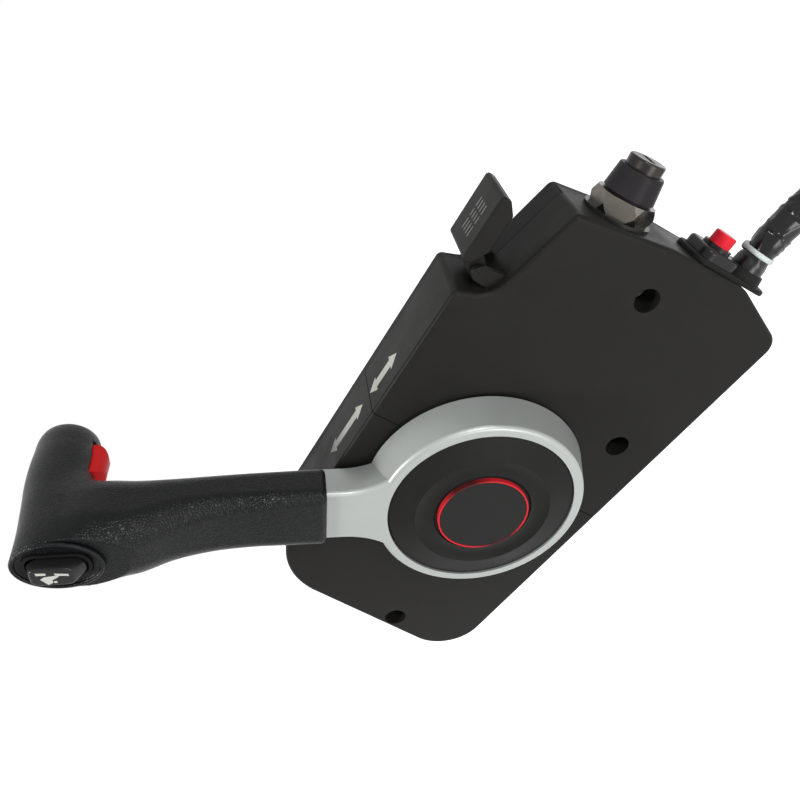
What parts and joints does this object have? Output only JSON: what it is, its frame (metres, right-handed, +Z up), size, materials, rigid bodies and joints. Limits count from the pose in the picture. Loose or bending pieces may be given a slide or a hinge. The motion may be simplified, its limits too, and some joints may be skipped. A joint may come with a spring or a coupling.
{
  "type": "boat throttle control lever",
  "caption": "Side-mount boat throttle and shift control with a swinging lever, T-bar grip with lock trigger and trim rocker, key switch, stop button, free throttle lever and wiring harness.",
  "frame": {"origin": "on the lever's axis, in the mounting face that lies against the boat's side panel", "axes": "+X along the top edge towards the key switch, +Y into the mounting panel, away from the user, +Z up"},
  "size_m": [0.3682, 0.1028, 0.5398],
  "materials": {
    "cover_black": "fine moulded texture, satin",
    "housing_black": "satin",
    "lever_silver": "satin bead-blasted, clear coated",
    "hub_cover_black": "satin",
    "cap_black": "semi-gloss",
    "accent_red": "satin",
    "grip_black": "leather-grained soft moulding",
    "switch_black": "satin",
    "trigger_red": "satin",
    "nut_metal": "nickel-plated brass",
    "steel": "turned",
    "zinc": "zinc plated",
    "bronze": "oiled bearing bronze",
    "gear_nylon": "natural nylon",
    "rotor_metal": "plated",
    "bezel_dark": "satin",
    "button_red": "semi-gloss",
    "sheath_black": "crinkled sheath",
    "tie_grey": "nylon",
    "plug_grey": "satin",
    "friction_pad": "bonded friction lining"
  },
  "bodies": {
    "housing": {"rear_flange": "housing_black", "front_cover_aft": "cover_black", "front_cover_fore": "cover_black", "rear_housing": "housing_black", "mounting_sleeves": "zinc", "cover_screws": "zinc", "frame_pillars": "steel", "frame_plate": "zinc", "frame_screws": "zinc", "pivot_pins": "steel", "rear_bush": "bronze", "front_bush": "bronze", "friction_shoe": "friction_pad", "friction_screw": "zinc", "neutral_switch": "switch_black", "warning_buzzer": "switch_black", "cable_clamp": "zinc", "key_switch_body": "switch_black", "key_switch_washer": "nut_metal", "key_switch_nut": "nut_metal", "key_switch_bezel": "bezel_dark", "switch_plate": "housing_black", "stop_switch": "switch_black", "flap_pin": "steel", "harness": "sheath_black", "harness_tie": "tie_grey", "harness_plug": "plug_grey"},
    "lever": {"lever_arm": "lever_silver", "hub_cover": "hub_cover_black", "hub_cap": "cap_black", "hub_accent_ring": "accent_red", "lever_bolt": "steel", "main_shaft": "steel", "drive_gear": "gear_nylon", "friction_drum": "steel", "grip": "grip_black", "trim_switch_body": "switch_black", "trim_switch_bezel": "switch_black"},
    "lock": {"lock_trigger": "trigger_red", "lock_rod": "steel"},
    "trim": {"trim_rocker": "switch_black"},
    "free_throttle": {"throttle_flap": "cover_black"},
    "key": {"key_rotor": "rotor_metal"},
    "stop": {"stop_button": "button_red"},
    "shift": {"shift_gear": "gear_nylon", "shift_crank": "zinc", "shift_cable_pin": "steel"},
    "throttle": {"throttle_gear": "gear_nylon", "throttle_crank": "zinc", "throttle_cable_pin": "steel"}
  },
  "joints": [
    {"name": "lever_swing", "type": "hinge", "parent": "housing", "child": "lever", "pos_m": [0, -0.07, 0], "axis": [0, -1, 0], "range_deg": [-65, 75]},
    {"name": "lock_squeeze", "type": "slide", "parent": "lever", "child": "lock", "axis": [-0.4446, 0, 0.8957], "range_m": [0, 0.005], "stiffness_N_per_m": 500},
    {"name": "trim_rock", "type": "hinge", "parent": "lever", "child": "trim", "pos_m": [-0.07621, -0.0942, 0.15352], "axis": [0.8957, 0, 0.4446], "range_deg": [-8, 8], "stiffness_Nm_per_rad": 0.05},
    {"name": "free_throttle_swing", "type": "hinge", "parent": "housing", "child": "free_throttle", "pos_m": [0.0875, -0.0445, 0.0545], "axis": [0, -1, 0], "range_deg": [0, 55]},
    {"name": "key_turn", "type": "hinge", "parent": "housing", "child": "key", "pos_m": [0.12843, -0.0426, 0.01382], "axis": [0.9907, 0, 0.1357], "range_deg": [0, 90]},
    {"name": "stop_press", "type": "slide", "parent": "housing", "child": "stop", "axis": [-1, 0, 0], "range_m": [0, 0.003], "stiffness_N_per_m": 400},
    {"name": "shift_turn", "type": "hinge", "parent": "housing", "child": "shift", "pos_m": [-0.04136, -0.038, -0.00729], "axis": [0, -1, 0], "range_deg": [-101, 88]},
    {"name": "throttle_turn", "type": "hinge", "parent": "housing", "child": "throttle", "pos_m": [0.05074, -0.038, 0.01847], "axis": [0, -1, 0], "range_deg": [-61, 53]}
  ],
  "couplings": [
    {"joint": "shift_turn", "follows": "lever_swing", "ratio": -1.3333},
    {"joint": "throttle_turn", "follows": "lever_swing", "ratio": -0.8}
  ]
}
